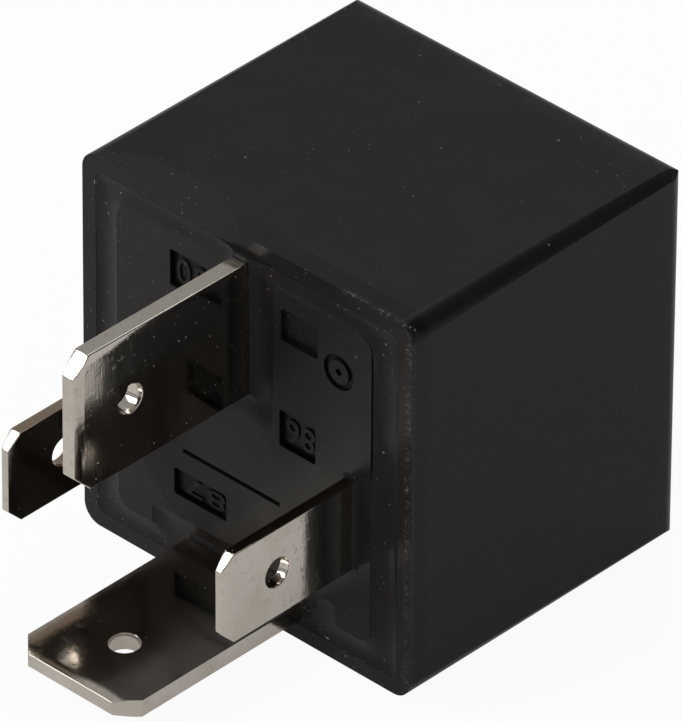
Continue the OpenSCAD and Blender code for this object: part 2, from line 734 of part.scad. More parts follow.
module fixed_contact() color("#d9dadb") {
    y_rod([0, contact_z], fixed_contact_r, shelf_y, fixed_top_y);
    y_rod([0, contact_z], contact_stem_r, shelf_y - wide_tab_t, shelf_y + eps);
}

module armature_rivets() color("#a8a9ab") at_rest_angle() for (s = [-1, 1]) {
    y_rod([s * rivet_x, armature_rivet_z], rivet_r, hinge_y, spring_top_y + eps);
    y_rod([s * rivet_x, armature_rivet_z], rivet_head_r, spring_top_y, spring_top_y + rivet_head_h);
}

module yoke_rivets() color("#a8a9ab") for (s = [-1, 1]) {
    head_z = leg_z + spring_lift + spring_t;
    z_rod([s * rivet_x, yoke_rivet_y], rivet_r, leg_inner_z, head_z + eps);
    z_rod([s * rivet_x, yoke_rivet_y], rivet_head_r, head_z, head_z + rivet_head_h);
}

// From a weld on the yoke's leg, round the hinge, to a weld on the spring
module braid() color("#b06a3a") yz_prism(-braid_w / 2, braid_w / 2) {
    half_t = braid_t / 2;
    over_z = leg_z + spring_lift + spring_t + rivet_head_h + braid_gap + half_t;
    over_y = cavity_end_y - braid_end_gap - half_t;
    step_y = spring_foot_y - braid_gap - half_t;
    leaf_z = contact_z + braid_to_contact;
    leaf_y = leaf_height(leaf_z) + half_t + spring_lift;
    lift_z = leaf_z + braid_leaf_len;
    polygon(strip(concat(
        [[step_y - braid_weld_len - braid_step_len / 2, leg_z + half_t],
         [step_y - braid_step_len / 2, leg_z + half_t], [step_y + braid_step_len / 2, over_z]],
        arc_points([over_y - braid_turn_r, over_z - braid_turn_r], braid_turn_r, 90, 0, 10),
        [[over_y, lift_z + braid_slope_len],
         [leaf_y - braid_leaf_len * tan(armature_open), lift_z], [leaf_y, leaf_z]]), braid_t));
}

// A flat stamping: the upright beside terminal 87, the arm over the spring's end
module rest_stop() color("#9fa2a5") {
    arm_y = leaf_height(stop_z - stop_t / 2) + stop_gap;
    xy_prism(stop_z - stop_t / 2, stop_z + stop_t / 2) {
        rect_between([stop_x, stop_root_y], [stop_x + stop_w, arm_y + stop_arm_h]);
        rect_between([stop_arm_x, arm_y], [stop_x + eps, arm_y + stop_arm_h]);
    }
}

// ================= assembly =================

// Lays the relay on its drafted side, with the origin under its middle
module placed() {
    translate([0, mouth_y, 0]) rotate([-cover_draft, 0, 0]) children();
}

placed() cover();
placed() base();
placed() sealing_resin();
placed() terminal_30();
placed() terminal_87();
placed() terminal_85();
placed() terminal_86();
placed() yoke();
placed() core();
placed() bobbin();
placed() coil_winding();
placed() lead_wire_85();
placed() lead_wire_86();
placed() armature();
placed() contact_spring();
placed() moving_contact();
placed() fixed_contact();
placed() armature_rivets();
placed() yoke_rivets();
placed() braid();
placed() rest_stop();
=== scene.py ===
"""The looks of a sealed automotive relay: moulded black cover and base, poured resin, tinned tabs and,
inside the cover, the magnet system. Metres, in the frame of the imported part."""
import json
import math

import bmesh
import bpy
from mathutils import Matrix, Vector


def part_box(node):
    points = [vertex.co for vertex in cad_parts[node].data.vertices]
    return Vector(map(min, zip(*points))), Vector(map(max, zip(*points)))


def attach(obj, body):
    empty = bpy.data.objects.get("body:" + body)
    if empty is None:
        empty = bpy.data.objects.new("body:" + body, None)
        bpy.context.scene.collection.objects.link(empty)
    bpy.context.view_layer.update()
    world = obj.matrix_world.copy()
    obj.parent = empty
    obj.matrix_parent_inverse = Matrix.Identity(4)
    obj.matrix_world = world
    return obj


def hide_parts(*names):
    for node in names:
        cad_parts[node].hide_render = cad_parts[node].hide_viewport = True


MM = 0.001
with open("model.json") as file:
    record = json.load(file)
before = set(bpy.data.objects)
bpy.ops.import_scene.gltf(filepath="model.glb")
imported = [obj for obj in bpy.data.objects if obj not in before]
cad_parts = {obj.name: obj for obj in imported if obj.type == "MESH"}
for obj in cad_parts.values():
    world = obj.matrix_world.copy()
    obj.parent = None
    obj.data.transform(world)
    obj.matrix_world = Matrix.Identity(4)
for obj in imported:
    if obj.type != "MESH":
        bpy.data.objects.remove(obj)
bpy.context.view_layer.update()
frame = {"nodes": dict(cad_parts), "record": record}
nodes = frame["nodes"]

# ------------------------------------------------------------------ where things are

LEAN = math.radians(0.35)                # the mould's draft: the relay lies on a drafted side
cover_low, cover_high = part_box("cover")
MOUTH_Y = cover_low.y                    # lower edge of the cover's mouth
HALF_W = cover_high.x / MM
TOP_Z = cover_high.z / MM
COIL_TAB_X = 8.8                         # middle of the two narrow tabs, left and right


def laid_down():
    """Turns a piece drawn square to the mouth, in metres, the way the relay lies."""
    return Matrix.Translation((0, MOUTH_Y, 0)) @ Matrix.Rotation(-LEAN, 4, "X")


# ------------------------------------------------------------------ shader writing


class Value:
    """A number inside a shader. Arithmetic on it adds Math nodes."""

    def __init__(self, shader, socket):
        self.shader, self.socket = shader, socket

    def maths(self, operation, *parts):
        return self.shader.node("ShaderNodeMath", {"operation": operation}, dict(enumerate(parts)))["Value"]

    def __add__(self, other):
        return self.maths("ADD", self, other)

    def __sub__(self, other):
        return self.maths("SUBTRACT", self, other)

    def __rsub__(self, other):
        return self.maths("SUBTRACT", other, self)

    def __mul__(self, other):
        return self.maths("MULTIPLY", self, other)

    def __truediv__(self, other):
        return self.maths("DIVIDE", self, other)

    __radd__ = __add__
    __rmul__ = __mul__

    def size(self):
        return self.maths("ABSOLUTE", self)

    def wave(self):
        return self.maths("SINE", self)

    def or_more(self, other):
        return self.maths("MAXIMUM", self, other)

    def or_less(self, other):
        return self.maths("MINIMUM", self, other)

    def over(self, other):
        return self.maths("GREATER_THAN", self, other)

    def under(self, other):
        return self.maths("LESS_THAN", self, other)

    def ramp(self, start, end, low=0.0, high=1.0):
        """Runs smoothly from low at start to high at end, and stays there."""
        if isinstance(start, (int, float)) and isinstance(end, (int, float)) and start > end:
            start, end, low, high = end, start, high, low
        return self.shader.node("ShaderNodeMapRange", {"interpolation_type": "SMOOTHSTEP"}, {
            "Value": self, "From Min": start, "From Max": end, "To Min": low, "To Max": high})["Result"]


class Outputs:
    """The outputs of one node, by name."""

    def __init__(self, shader, made):
        self.shader, self.made = shader, made

    def __getitem__(self, name):
        socket = next(s for s in self.made.outputs if s.name == name and s.enabled)
        return Value(self.shader, socket) if socket.type == "VALUE" else socket


class Shader:
    """One material or world under construction."""

    def __init__(self, name, owner=None):
        self.owner = owner or bpy.data.materials.new(name)
        self.owner.use_nodes = True
        self.tree = self.owner.node_tree
        self.tree.nodes.clear()

    def node(self, kind, settings=(), inputs=()):
        made = self.tree.nodes.new(kind)
        for key, value in dict(settings).items():
            setattr(made, key, value)
        for key, value in dict(inputs).items():
            socket = made.inputs[key] if isinstance(key, int) else next(
                s for s in made.inputs if s.name == key and s.enabled)
            if isinstance(value, Value):
                self.tree.links.new(value.socket, socket)
            elif isinstance(value, bpy.types.NodeSocket):
                self.tree.links.new(value, socket)
            else:
                socket.default_value = value
        return Outputs(self, made)

    def place(self):
        """The place on the object, as three numbers in millimetres."""
        each = self.node("ShaderNodeSeparateXYZ", {}, {"Vector": self.node("ShaderNodeTexCoord")["Object"]})
        return each["X"] / MM, each["Y"] / MM, each["Z"] / MM

    def upward(self):
        """How far the surface faces up: 1 on a level top, -1 underneath."""
        normal = self.node("ShaderNodeNewGeometry")["True Normal"]
        return self.node("ShaderNodeSeparateXYZ", {}, {"Vector": normal})["Z"]

    def mapped(self, scale=(1, 1, 1), turn=(0, 0, 0)):
        """Object coordinates, stretched and turned."""
        here = self.node("ShaderNodeTexCoord")["Object"]
        return self.node("ShaderNodeMapping", {}, {"Vector": here, "Scale": scale, "Rotation": turn})["Vector"]

    def noise(self, per_mm, detail=2.0, roughness=0.5, at=None):
        """Noise with so many spots to the millimetre."""
        return self.node("ShaderNodeTexNoise", {}, {
            "Vector": at or self.mapped(), "Scale": per_mm / MM, "Detail": detail,
            "Roughness": roughness})["Fac"]

    def specks(self, per_mm, share, radius, at=None):
        """Round specks, so many to the millimetre each way: 1 in the middle of a speck."""
        made = self.node("ShaderNodeTexVoronoi", {}, {"Vector": at or self.mapped(), "Scale": per_mm / MM})
        each = self.node("ShaderNodeSeparateColor", {}, {"Color": made["Color"]})
        reach = (each["Green"] * 0.8 + 0.4) * (radius * per_mm)
        there = made["Distance"].ramp(reach, reach * 0.45, 0.0, 1.0)
        return there * each["Red"].under(share) * (each["Blue"] * 0.7 + 0.3)

    def mix(self, factor, first, second):
        return self.node("ShaderNodeMix", {"data_type": "RGBA"}, {
            "Factor": factor, "A": first, "B": second})["Result"]

    def bump(self, height, depth_mm):
        return self.node("ShaderNodeBump", {}, {"Height": height, "Distance": depth_mm * MM})["Normal"]

    def finish(self, **inputs):
        surface = self.node("ShaderNodeBsdfPrincipled", {}, {
            key.replace("_", " "): value for key, value in inputs.items()})
        self.node("ShaderNodeOutputMaterial", {}, {"Surface": surface["BSDF"]})
        return self.owner


def tone(red, green, blue):
    """A colour written as it shows on screen, 0 to 255."""
    def linear(v):
        v /= 255
        return v / 12.92 if v <= 0.04045 else ((v + 0.055) / 1.055) ** 2.4
    return linear(red), linear(green), linear(blue), 1.0


# ------------------------------------------------------------------ dust, resin smears and painted shade on the plastics

DUST = tone(176, 174, 170)


def from_mouth(s):
    """Numbers in millimetres, square to the mouth: x, how far inside the mouth, how far under its top edge."""
    x, y, z = s.place()
    lean = math.sin(LEAN)
    depth = (y - MOUTH_Y / MM) - z * lean
    under = (TOP_Z - z) - (y - MOUTH_Y / MM) * lean
    return x, depth, under


def smear_edge(s, x):
    """Where the resin wiped over the mouth's top edge ends: how far inside the mouth, or less than 0 under it."""
    ragged = s.noise(0.7, 3.0, 0.6) * 1.3 - 0.65
    return (x.ramp(-13.5, -8.5, 0.5, 2.3) + x.ramp(-5.5, 2.8, 0.0, -3.5) + x.ramp(3.0, 8.8, 0.0, 1.22)
            + ragged * x.ramp(9.5, 6.0, 0.15, 1.0))


def settled_dust(s, thickness):
    """Specks and short threads of dust, more of them where thickness is near 1."""
    fine = s.specks(3.6, thickness * 0.4 + 0.4, 0.062) * (thickness * 0.35 + 0.06)
    some = s.specks(1.9, thickness * 0.9 + 0.12, 0.075) * (thickness * 0.6 + 0.25)
    large = s.specks(1.0, thickness * 0.8 + 0.06, 0.1) * (thickness * 0.4 + 0.5)
    threads = s.specks(1.3, thickness * 0.4 + 0.08, 0.042, s.mapped((1, 1, 0.22), (0.6, 0.4, 0.9)))
    hairs = s.specks(1.2, thickness * 0.3 + 0.06, 0.042, s.mapped((0.2, 1, 1), (0.5, 0.9, 0.2)))
    return fine.or_more(some).or_more(large).or_more(threads).or_more(hairs)


def moulded_black(name, clean, smeared, film, roughness, smear_rule, deep_rule=None, scuffed=False):
    """Matt black moulding compound: fine grain, a film of dust, resin smears, specks of dust on top, and painted
    shade.

    smear_rule gives where resin smears it, deep_rule where it is a recess, darkened there with painted shade, and
    scuffed puts one rub on the edge."""
    s = Shader(name)
    x, depth, under = from_mouth(s)
    edge = smear_edge(s, x)
    along = depth - under                     # runs over the mouth's top edge from the end face to the top
    smear = smear_rule(s, x, depth, under, along, edge)
    at_top = under.under(2.5)
    grains = s.specks(5.5, 0.9, 0.085).or_more(s.noise(7.0, 3.0, 0.7).ramp(0.5, 0.72) * 0.6)
    # The crest of dried resin, the dusty corner edge, the closed end's haze and a heap of dust behind tab 30.
    ridge = (along - edge).size().ramp(0.4, 0.05) * at_top * s.noise(1.4, 3.0, 0.7).ramp(0.3, 0.6)
    crest = ridge * x.ramp(7.0, 9.0) * depth.under(0.6) * grains
    corner = ((x - HALF_W + 0.3).size().ramp(0.4, 0.05) * (depth - 0.1).size().ramp(0.35, 0.05)
              * s.noise(1.1, 3.0, 0.7).ramp(0.36, 0.6)) * grains
    far_end = depth.ramp(20.8, 23.7) * s.noise(1.1, 3.0, 0.7).ramp(0.25, 0.7)
    heap = ((x - 3.0) / 3.6).maths("POWER", 2.0).ramp(1.0, 0.1) * (along - 0.4).size().ramp(2.2, 0.2)
    end_face = depth.ramp(0.5, -0.2)
    drift = s.noise(0.16, 3.0, 0.6).ramp(0.4, 0.68, 0.0, 0.22) + (end_face + smear).or_less(1.0) * 0.28
    thickness = (ridge * 0.8).or_more(far_end * 0.5).or_more(heap * 0.8).or_more(drift)
    dust = settled_dust(s, thickness)
    cloud = s.noise(0.22, 4.0, 0.6)
    grain = s.noise(11.0, 2.0, 0.6)
    colour = s.mix(smear, clean, smeared)
    colour = s.mix(cloud.ramp(0.35, 0.7, 0.0, 0.4) + grain * 0.15, colour, film)
    # Painted shade: the colour darkens toward the right wherever it lies less than 1.5 mm inside the mouth.
    shaded = x.ramp(-6.0, 8.0) * depth.under(1.5)
    colour = s.mix(shaded * 0.5, colour, tone(10, 9, 8))
    colour = s.mix(far_end * 0.3, colour, tone(64, 64, 65))
    colour = s.mix(crest.or_more(corner * 0.8) * 0.7, colour, tone(150, 143, 134))
    normal_height = grain + cloud * 1.5 + dust * 3.0 + smear * 1.2
    rough = cloud.ramp(0.3, 0.7, roughness - 0.03, roughness + 0.04) + smear * 0.04 + dust * 0.3
    if deep_rule is not None:
        # Painted shade: the floors of the recesses are darkened almost to black.
        deep = deep_rule(x, depth, under)
        colour = s.mix(deep * 0.88, colour, tone(6, 5, 5))
        dust = dust * (1 - deep * 0.85)
    colour = s.mix(dust * 0.72, colour, DUST)
    if scuffed:
        scuff = (((depth - 15.3) / 1.5).maths("POWER", 2.0) + ((under - 0.85) / 0.5).maths("POWER", 2.0)
                 + s.noise(2.0, 3.0, 0.7) * 1.6 - 0.8).ramp(1.15, 0.7) * x.over(12.0)
        colour = s.mix(scuff * 0.8, colour, tone(60, 59, 59))
        rough = rough + scuff * 0.3
    return s.finish(Base_Color=colour, Roughness=rough, Normal=s.bump(normal_height, 0.008),
                    Specular_IOR_Level=0.105)


def smear_on_cover(s, x, depth, under, along, edge):
    """Over the end face of the rim, and onto the top as far as the smear's edge."""
    near_top = under.under(1.5)
    on_top = (along - edge).ramp(0.35, -0.35) * near_top
    return on_top.or_more(depth.ramp(0.22, 0.1) * under.over(1.5))


def resin_everywhere(s, x, depth, under, along, edge):
    """Brownish, apart from the bluish pool along the left side and the dip beside tab 30."""
    wander = s.noise(0.35, 3.0) * 2.4 - 1.2
    pool = (x + HALF_W - 2.2 - under.ramp(6.0, 9.5, 0.0, 1.0)
            + wander * 0.4).ramp(0.5, -0.3) * under.ramp(16.0, 12.0)
    return (1 - pool * 0.75) * (along - edge).ramp(0.12, -0.12).or_more(under.over(2.5))


def base_patches(s, x, depth, under, along, edge):
    """Paler and darker patches, with no rule to them."""
    return s.noise(0.3, 3.0).ramp(0.3, 0.7)


def in_windows(x, depth, under):
    """Where painted shade darkens the floors of the number windows, the moulding ring and the blank slot; the blank
    window gets less of it.
    """
    blank = (x - 4.55).size().under(1.6) * (under - 4.6).size().under(1.25)
    return depth.ramp(-0.16, -0.02) * (1 - blank * 0.7)


# ------------------------------------------------------------------ metals and the bobbin


def tinned_strip():
    """Tin plated strip: nearly a mirror, with fine streaks across the tab, dull spots, dust, and painted shade near
    the root.
    """
    s = Shader("tinned_strip")
    x, y, z = s.place()
    upward = s.upward()
    cloud = s.noise(0.3, 3.0, 0.55)
    streaks = s.noise(7.0, 2.0, 0.6, s.mapped((1.0, 1.0, 0.07)))
    ripple = s.noise(0.9, 2.0)
    pores = s.specks(2.4, 0.35, 0.06)
    dull = s.noise(1.6, 4.0, 0.65).ramp(0.56, 0.72)
    dust = s.specks(1.9, 0.22, 0.05).or_more(s.specks(0.85, 0.05, 0.09)).or_more(
        s.specks(1.3, 0.05, 0.04, s.mapped((1, 0.25, 1), (0.7, 0.2, 0.5))))
    # Painted shade and reflection: the tab turns brown within 2.6 mm of the mouth, standing in for the shade and
    # the dark base mirrored near its root.
    root = (y - MOUTH_Y / MM).ramp(-2.6, -0.3) * s.noise(1.8, 3.0, 0.6).ramp(0.35, 0.7)
    cut_edge = upward.size().over(0.8) * (x.size() - COIL_TAB_X).size().under(0.9)
    colour = s.mix(cloud.ramp(0.3, 0.75), tone(190, 183, 174), tone(180, 172, 161))
    colour = s.mix(streaks.ramp(0.55, 0.75) * 0.25, colour, tone(160, 148, 134))
    colour = s.mix(pores * 0.6 + dull * 0.18, colour, tone(92, 78, 62))
    # The brown near the root is painted shade and reflection.
    colour = s.mix(root * 0.55 + cut_edge * 0.6, colour, tone(120, 88, 60))
    colour = s.mix(dust * 0.8, colour, tone(206, 202, 196))
    rough = (cloud.ramp(0.3, 0.75, 0.09, 0.13) + streaks.ramp(0.5, 0.8) * 0.06 + dull * 0.08 + root * 0.15
             + dust * 0.5)
    height = streaks * 0.35 + ripple * 1.6 + dull * 0.5 + dust * 2.0 - pores
    return s.finish(Base_Color=colour, Metallic=1.0 - dust * 0.9 - pores * 0.3, Roughness=rough,
                    Normal=s.bump(height, 0.004))


def rolled_metal(name, colour, darker, roughness, scale=(1.0, 0.1, 1.0)):
    """Strip or wire with fine drawing lines and a little cloudiness."""
    s = Shader(name)
    cloud = s.noise(0.6, 3.0)
    lines = s.noise(6.0, 2.0, 0.6, s.mapped(scale))
    spots = s.specks(1.7, 0.25, 0.07)
    return s.finish(Base_Color=s.mix(cloud.ramp(0.3, 0.8).or_more(spots * 0.6), colour, darker), Metallic=1.0,
                    Roughness=cloud.ramp(0.3, 0.7, roughness - 0.05, roughness + 0.08) + lines * 0.05,
                    Normal=s.bump(lines + spots, 0.005))


def woven_copper(name, colour, darker):
    """Braided strands crossing at a slant."""
    s = Shader(name)
    x, y, z = s.place()
    one_way = ((x + y + z) * 7.0).wave()
    other_way = ((x - y - z) * 7.0).wave()
    weave = one_way.or_more(other_way) * 0.5 + 0.5
    return s.finish(Base_Color=s.mix(weave, darker, colour), Metallic=1.0,
                    Roughness=weave.ramp(0.0, 1.0, 0.5, 0.32), Normal=s.bump(weave, 0.12))


def natural_nylon(name, colour, darker):
    """Uncoloured nylon, slightly cloudy."""
    s = Shader(name)
    cloud = s.noise(0.5, 3.0)
    grain = s.noise(9.0, 2.0)
    return s.finish(Base_Color=s.mix(cloud.ramp(0.3, 0.8, 0.0, 0.6), colour, darker),
                    Roughness=cloud.ramp(0.3, 0.7, 0.42, 0.52), Normal=s.bump(grain, 0.008))


materials = {
    "cover_plastic": moulded_black("cover_plastic", tone(24, 24, 25), tone(33, 31, 31), tone(30, 30, 31), 0.34,
                                   smear_on_cover, scuffed=True),
    "base_plastic": moulded_black("base_plastic", tone(33, 31, 31), tone(35, 32, 31), tone(42, 39, 38), 0.42,
                                  base_patches, in_windows),
    "raised_number": moulded_black("raised_number", tone(22, 21, 20), tone(24, 23, 22), tone(30, 29, 28), 0.42,
                                   base_patches),
    "resin": moulded_black("resin", tone(27, 28, 29), tone(35, 32, 31), tone(42, 39, 38), 0.36,
                           resin_everywhere),
    "tinned_tab": tinned_strip(),
    "magnet_steel": rolled_metal("magnet_steel", tone(176, 178, 180), tone(150, 152, 152), 0.35),
    "core_iron": rolled_metal("core_iron", tone(160, 160, 160), tone(138, 138, 138), 0.4),
    "bobbin_plastic": natural_nylon("bobbin_plastic", tone(214, 206, 186), tone(196, 186, 162)),
    "enamelled_copper": rolled_metal("enamelled_copper", tone(176, 96, 52), tone(140, 66, 34), 0.28),
    "spring_bronze": rolled_metal("spring_bronze", tone(208, 158, 96), tone(188, 136, 78), 0.3, (1, 1, 0.1)),
    "contact_silver": rolled_metal("contact_silver", tone(228, 226, 220), tone(200, 198, 192), 0.35, (1, 1, 1)),
    "rivet_steel": rolled_metal("rivet_steel", tone(190, 190, 190), tone(165, 165, 165), 0.3, (1, 1, 1)),
    "braid_copper": woven_copper("braid_copper", tone(205, 130, 86), tone(120, 62, 36)),
}

slot_of = {entry["node"]: entry["material_slot"] for entry in frame["record"]["subparts"]}
for name, thing in nodes.items():
    thing.data.materials.clear()
    thing.data.materials.append(materials[slot_of[name]])

# ------------------------------------------------------------------ pieces that stand for a CAD node


def joined_up(node):
    """A CAD node's triangles as one shell with its flat faces whole."""
    shell = bmesh.new()
    shell.from_mesh(nodes[node].data)
    bmesh.ops.remove_doubles(shell, verts=shell.verts, dist=0.002 * MM)
    bmesh.ops.dissolve_limit(shell, angle_limit=math.radians(0.5), verts=shell.verts, edges=shell.edges)
    return shell


def break_edges(shell, width):
    """Rounds the sharp edges by a width in millimetres."""
    sharp = [e for e in shell.edges if len(e.link_faces) == 2 and e.calc_face_angle() > math.radians(25.0)]
    bmesh.ops.bevel(shell, geom=sharp, offset=width * MM, offset_type="OFFSET", segments=3,
                    profile=0.5, affect="EDGES", clamp_overlap=True, material=-1)


def add_piece(name, shell, slot, body="housing", node=None, smooth_under=40.0, finish=None):
    """Makes a shell a piece that rides on a body, and stands for a CAD node if one is given."""
    bmesh.ops.recalc_face_normals(shell, faces=shell.faces)
    for face in shell.faces:
        face.smooth = True
    for edge in shell.edges:
        edge.smooth = len(edge.link_faces) == 2 and edge.calc_face_angle() < math.radians(smooth_under)
    mesh = bpy.data.meshes.new(name)
    shell.to_mesh(mesh)
    shell.free()
    piece = bpy.data.objects.new(name, mesh)
    bpy.context.scene.collection.objects.link(piece)
    mesh.materials.append(materials[finish or slot])
    even = piece.modifiers.new("even_shading", "WEIGHTED_NORMAL")
    even.keep_sharp = True
    even.weight = 100
    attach(piece, body)
    if node:
        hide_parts(node)
    return piece


def make_tab(node, rolled=0.0, rolled_depth=0.0):
    """A stamped terminal with broken edges; a rolled one has its +X face drawn down along its upper edge."""
    shell = joined_up(node)
    low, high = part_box(node)
    break_edges(shell, 0.07)
    if rolled:
        face_x = high.x
        for part in (1.0, 0.8, 0.6, 0.4, 0.25, 0.12):
            bmesh.ops.bisect_plane(shell, geom=shell.verts[:] + shell.edges[:] + shell.faces[:],
                                   plane_co=(0, 0, high.z - rolled * part * MM), plane_no=(0, 0, 1))
        for vert in shell.verts:
            inwards = (high.z - vert.co.z) / (rolled * MM)
            if vert.co.x > face_x - 0.1 * MM and inwards < 1.0 and vert.co.y < MOUTH_Y:
                fade = min(1.0, (MOUTH_Y - vert.co.y) / (9.0 * MM))      # full 9 mm from the mouth
                vert.co.x -= rolled_depth * MM * fade * (1.0 - inwards) ** 2
    return add_piece(node + "_stamping", shell, "tinned_tab", node=node, smooth_under=30.0)


for node in ("terminal_87", "terminal_85", "terminal_86"):
    make_tab(node)
make_tab("terminal_30", 0.6, 0.12)

# ------------------------------------------------------------------ the poured resin

WALL = 1.1                               # end face of the cover's rim
INSIDE = (-HALF_W + WALL, HALF_W - WALL, WALL, TOP_Z - WALL)
PLATEAU = (-10.4, 10.4, 2.7, 24.7)       # the base's raised middle: low and high x, low and high z
NOTCH = (-7.6, 7.6, -1.0, 4.25)
POCKET = (-1.0, 2.4, 14.0, 24.7)
TAB_30 = (-0.6, 0.6, 16.15, 25.65)
TAB_87 = (-4.75, 4.75, 1.7, 2.9)
TAB_86 = (8.4, 9.2, 7.75, 14.05)
TAB_85 = (-9.2, -8.4, 7.75, 14.05)
SKIN = 0.2                               # the resin's flat surface, inside the mouth
MIDDLE_LEVEL = -0.2                      # face of the raised middle, outside the mouth
RING_REACH = 0.45                        # the ring of resin round a tab's root: width, height, fade and overlap
RING_HEIGHT, RING_FADE, RING_SINK = 0.16, 0.15, 0.02


def outside(x, z, box, radius):
    """How far a place lies outside a round-cornered box; less than 0 inside."""
    across = abs(x - (box[0] + box[1]) / 2) - (box[1] - box[0]) / 2 + radius
    up = abs(z - (box[2] + box[3]) / 2) - (box[3] - box[2]) / 2 + radius
    return math.hypot(max(across, 0), max(up, 0)) + min(max(across, up), 0) - radius


def resin_level(x, z):
    """How deep the resin lies: it climbs the cover's wall, the raised middle and tab 30, and sags in the pocket."""
    from_wall = -outside(x, z, INSIDE, 0.7)
    from_middle = max(outside(x, z, PLATEAU, 1.0), -outside(x, z, NOTCH, 0.5),
                      -outside(x, z, (POCKET[0], POCKET[1], POCKET[2], 30.0), 0.5))
    from_tab = outside(x, z, TAB_30, 0.02)
    climb_wall = 0.2 * math.exp(-max(from_wall, 0) / (0.9 if z > 22 else 0.35))
    climb_middle = 0.39 * math.exp(-max(from_middle, 0) / 0.6)
    climb_tab = 0.6 * math.exp(-max(from_tab, 0) / 0.5)
    sag, filled = 0.0, 0.0
    if outside(x, z, PLATEAU, 1.0) < 0 and z > 10:
        sag = 0.12 * max(0.0, min(1.0, (24.7 - z) / 2.0))
        filled = max(0.0, min(1.0, (16.0 - z) / 1.8))
    level = SKIN + sag - max(climb_wall, climb_middle)
    filled *= filled * (3 - 2 * filled)
    return level * (1 - filled) + (MIDDLE_LEVEL + 0.01) * filled - climb_tab


def root_level(tab, surface):
    """The skin of resin that clings round a tab's root, above the surface it stands on."""
    def level(x, z):
        away = max(outside(x, z, tab, 0.02), 0)
        return surface(x, z) + RING_SINK - RING_HEIGHT * math.exp(-away / RING_FADE)
    return level


def make_resin():
    """The CAD ring of resin, cut finely over its face and lifted into a meniscus."""
    shell = joined_up("sealing_resin")
    placed = laid_down()
    shell.transform(placed.inverted())
    skin, near, step = SKIN * MM, 0.02 * MM, 0.3
    for axis, start, end in (((1, 0, 0), -12.3, 12.3), ((0, 0, 1), 1.2, 25.8)):
        for i in range(int((end - start) / step) + 1):
            at = (start + step * i) * MM
            faces = [f for f in shell.faces if abs(f.calc_center_median().y - skin) < near]
            edges = {e for f in faces for e in f.edges}
            verts = {v for f in faces for v in f.verts}
            bmesh.ops.bisect_plane(shell, geom=list(verts) + list(edges) + faces,
                                   plane_co=Vector(axis) * at, plane_no=axis)
    for vert in shell.verts:
        if abs(vert.co.y - skin) < near:
            vert.co.y = resin_level(vert.co.x / MM, vert.co.z / MM) * MM
    shell.transform(placed)
    return add_piece("poured_resin", shell, "resin", node="sealing_resin", smooth_under=50.0)


def make_skin(name, low, high, level, tab, back_level, step=0.1):
    """A sheet of resin over a rectangle from low to high (x, z), open where a tab passes through it."""
    shell = bmesh.new()
    bmesh.ops.create_grid(shell, x_segments=round((high[0] - low[0]) / step), size=0.5 * MM,
                          y_segments=round((high[1] - low[1]) / step))
    for vert in shell.verts:
        x = low[0] + (vert.co.x / MM + 0.5) * (high[0] - low[0])
        z = low[1] + (vert.co.y / MM + 0.5) * (high[1] - low[1])
        vert.co = Vector((x, level(x, z), z)) * MM
    inside_tab = [f for f in shell.faces
                  if outside(f.calc_center_median().x / MM, f.calc_center_median().z / MM, tab, 0.02) < -step]
    bmesh.ops.delete(shell, geom=inside_tab, context="FACES")
    back = bmesh.ops.extrude_face_region(shell, geom=shell.faces[:], use_keep_orig=True)["geom"]
    for vert in (g for g in back if isinstance(g, bmesh.types.BMVert)):
        vert.co.y = back_level * MM
    shell.transform(laid_down())
    return add_piece(name, shell, "resin", smooth_under=60.0)


def make_root_resin(name, tab, surface, back_level):
    """The ring of resin round one tab's root."""
    low, high = (tab[0] - RING_REACH, tab[2] - RING_REACH), (tab[1] + RING_REACH, tab[3] + RING_REACH)
    make_skin(name, low, high, root_level(tab, surface), tab, back_level, 0.06)


make_resin()
make_skin("pocket_resin", (POCKET[0] + 0.02, POCKET[2] + 0.02), (POCKET[1] - 0.02, POCKET[3]),
          resin_level, TAB_30, 0.53)
for name, tab in (("root_resin_86", TAB_86), ("root_resin_85", TAB_85)):
    make_root_resin(name, tab, lambda x, z: MIDDLE_LEVEL, -0.12)
make_root_resin("root_resin_87", TAB_87, resin_level, 0.4)

# ------------------------------------------------------------------ the terminal numbers


def make_number(text, x, z, height, stretch=1.0):
    """Raised figures on the floor of a window, upside down as the relay lies, and widened by stretch."""
    curve = bpy.data.curves.new("figures", "FONT")
    curve.body, curve.size, curve.align_x, curve.align_y = text, height * 1.38 * MM, "CENTER", "CENTER"
    curve.extrude, curve.offset, curve.space_character = 0.055 * MM, 0.02 * MM, 1.08
    written = bpy.data.objects.new("figures", curve)
    bpy.context.scene.collection.objects.link(written)
    bpy.context.view_layer.update()
    mesh = bpy.data.meshes.new_from_object(written.evaluated_get(bpy.context.evaluated_depsgraph_get()))
    bpy.data.objects.remove(written)
    shell = bmesh.new()
    shell.from_mesh(mesh)
    bmesh.ops.remove_doubles(shell, verts=shell.verts, dist=0.001 * MM)
    stand = Matrix.Rotation(math.radians(90), 4, "X") @ Matrix.Rotation(math.pi, 4, "Z")
    shell.transform(laid_down() @ Matrix.Translation(Vector((x, 0.1, z)) * MM) @ stand
                    @ Matrix.Diagonal((stretch, 1, 1, 1)))
    return add_piece("number_" + text, shell, "base_plastic", smooth_under=30.0, finish="raised_number")


make_number("30", -4.5, 22.1, 1.8)
make_number("86", 4.45, 14.9, 1.7)
make_number("85", -4.45, 14.9, 1.7)
make_number("87", -3.4, 6.75, 1.25, 1.95)

# ------------------------------------------------------------------ floor, light and camera


